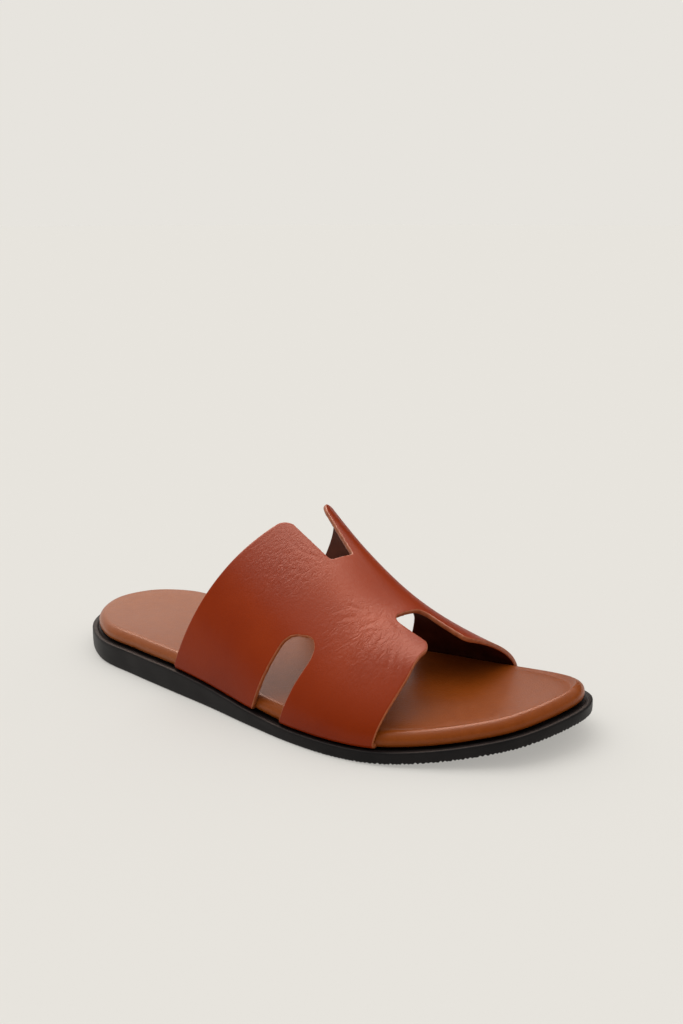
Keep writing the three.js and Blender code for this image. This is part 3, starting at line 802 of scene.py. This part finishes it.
pores = add_node(tree, "TexVoronoi", {"Vector": place, "Scale": 1 / (0.909 * MM)})
pore_bump = add_node(tree, "Bump", {
    "Height": pores.outputs["Distance"], "Strength": 0.12, "Distance": 0.3 * MM,
})
fleck_bump = add_node(tree, "Bump", {
    "Height": flecks.outputs[0], "Normal": pore_bump.outputs[0], "Strength": 0.15, "Distance": 0.5 * MM,
})
bump = add_node(tree, "Bump", {
    "Height": crinkle.outputs[0], "Normal": fleck_bump.outputs[0], "Strength": 0.6, "Distance": 0.3 * MM,
})
shader = add_node(tree, "BsdfPrincipled", {
    "Base Color": colour.outputs[0], "Normal": bump.outputs[0], "Roughness": rough.outputs[0],
    "Specular IOR Level": 0.08, "Coat Weight": 0.1, "Coat Roughness": 0.3,
})
add_node(tree, "OutputMaterial", {"Surface": shader.outputs[0]})

# Brown lining leather: darker and duller than the face, and a little cloudy.
lining, tree, place = new_material("brown lining leather")
clouds = add_node(tree, "TexNoise", {"Vector": place, "Scale": 1 / (8.33 * MM), "Detail": 4})
lighter = add_node(tree, "MapRange", {"Value": clouds.outputs[0], "From Min": 0.35, "From Max": 0.65})
colour = add_node(tree, "MixRGB", {
    "Fac": lighter.outputs[0], "Color1": linear("#4a2113"), "Color2": linear("#5c2c1a"),
})
shader = add_node(tree, "BsdfPrincipled", {
    "Base Color": colour.outputs[0], "Roughness": 0.6, "Specular IOR Level": 0.1,
})
add_node(tree, "OutputMaterial", {"Surface": shader.outputs[0]})

# Cut edge: raw fibre under a thin orange-brown dye, which soaks in unevenly. It is lighter than the face.
edge_dye, tree, place = new_material("dyed cut leather edge")
specks = add_node(tree, "TexNoise", {"Vector": place, "Scale": 1 / (2.5 * MM), "Detail": 3})
lighter = add_node(tree, "MapRange", {"Value": specks.outputs[0], "From Min": 0.3, "From Max": 0.7})
colour = add_node(tree, "MixRGB", {
    "Fac": lighter.outputs[0], "Color1": linear("#a04f26"), "Color2": linear("#b8663a"),
})
shader = add_node(tree, "BsdfPrincipled", {"Base Color": colour.outputs[0], "Roughness": 0.45})
add_node(tree, "OutputMaterial", {"Surface": shader.outputs[0]})

upper = add_mesh("upper_leather", np.vstack(points), all_faces, [cognac, lining, edge_dye], slots)
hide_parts("upper")

# Stage: a pale paper floor that glows weakly, so that the shadows on it stay pale, and a pale backdrop that
# only the camera sees. The light comes from the world, which is brighter above and behind, from a weak,
# wide sun and a little from the floor.
FLOOR_HALF = 8
floor_mesh = bpy.data.meshes.new("floor")
floor_corners = [(x * FLOOR_HALF, y * FLOOR_HALF, 0) for x, y in ((-1, -1), (1, -1), (1, 1), (-1, 1))]
floor_mesh.from_pydata(floor_corners, [], [(0, 1, 2, 3)])
floor = bpy.data.objects.new("floor", floor_mesh)
bpy.context.scene.collection.objects.link(floor)
paper, tree, place = new_material("pale studio paper")
shader = add_node(tree, "BsdfPrincipled", {
    "Base Color": linear("#b6b5b2"), "Roughness": 1, "Specular IOR Level": 0,
    "Emission Color": linear("#e7e4de"), "Emission Strength": 0.45,
})
add_node(tree, "OutputMaterial", {"Surface": shader.outputs[0]})
floor_mesh.materials.append(paper)
floor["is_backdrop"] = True


def glowing_sheet(name, points, faces, colour, strength, camera_sees, gloss_sees):
    """A sheet in metres that glows in a camera's view or in reflections, and lights nothing."""
    mesh = bpy.data.meshes.new(name)
    mesh.from_pydata(points, [], faces)
    material, tree, _ = new_material(name)
    glow = add_node(tree, "Emission", {"Color": linear(colour), "Strength": strength})
    add_node(tree, "OutputMaterial", {"Surface": glow.outputs[0]})
    mesh.materials.append(material)
    sheet = bpy.data.objects.new(name, mesh)
    bpy.context.scene.collection.objects.link(sheet)
    sheet.visible_camera = camera_sees
    sheet.visible_glossy = gloss_sees
    sheet.visible_diffuse = False
    sheet.visible_transmission = False
    sheet.visible_shadow = False
    sheet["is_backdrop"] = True
    return sheet


DOME_RADIUS = 7.9
DOME_COUNT = 48
dome_turns = np.arange(DOME_COUNT) / DOME_COUNT * 2 * math.pi
points = []
for outward, up in ((1, 0), (0.87, 0.5), (0.5, 0.87)):
    for turn in dome_turns:
        x, y = outward * math.cos(turn), outward * math.sin(turn)
        points.append((x * DOME_RADIUS, y * DOME_RADIUS, up * DOME_RADIUS))
top_ring, top = 2 * DOME_COUNT, 3 * DOME_COUNT
points.append((0, 0, DOME_RADIUS))
faces = ring_faces(DOME_COUNT, 3)
faces += [(top_ring + k, top_ring + (k + 1) % DOME_COUNT, top) for k in range(DOME_COUNT)]
glowing_sheet("pale backdrop", points, faces, "#e7e4de", 1, True, False)

# an overhead softbox, which draws the sheen, and a black flag: only reflections see them
towards_light = Vector((-0.38, 0.38, 0.84)).normalized()
softbox = glowing_sheet(
    "overhead softbox", [(-1, -0.65, 0), (1, -0.65, 0), (1, 0.65, 0), (-1, 0.65, 0)], [(0, 1, 2, 3)],
    "#ffe0cf", 11, False, True,
)
softbox.location = towards_light * 2.2
softbox.rotation_mode = "QUATERNION"
softbox.rotation_quaternion = towards_light.to_track_quat("Z", "Y")
glowing_sheet(
    "black flag", [(-0.75, 1.5, 0), (2.6, 1.5, 0), (2.6, 1.5, 0.8), (-0.75, 1.5, 0.8)], [(0, 1, 2, 3)],
    "#000000", 0, False, True,
)

world = bpy.data.worlds.new("studio")
bpy.context.scene.world = world
world.use_nodes = True
tree = world.node_tree
background = tree.nodes["Background"]
background.inputs["Color"].default_value = linear("#fffcf7")
direction = add_node(tree, "TexCoord").outputs["Generated"]
brightest = Vector((-0.25, 0.38, 0.89)).normalized()
facing = add_node(tree, "VectorMath", {0: direction, 1: brightest}, operation="DOT_PRODUCT")
glow = add_node(tree, "MapRange", {
    "Value": facing.outputs["Value"], "From Min": -0.3, "To Min": 0.13, "To Max": 1.07,
})
tree.links.new(glow.outputs[0], background.inputs["Strength"])

sun = bpy.data.objects.new("key", bpy.data.lights.new("key", "SUN"))
bpy.context.scene.collection.objects.link(sun)
sun.data.energy = 0.55
sun.data.angle = math.radians(50)
sun.rotation_mode = "QUATERNION"
sun.rotation_quaternion = Vector((0.3, 0.05, -1)).to_track_quat("-Z", "Y")

low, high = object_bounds()
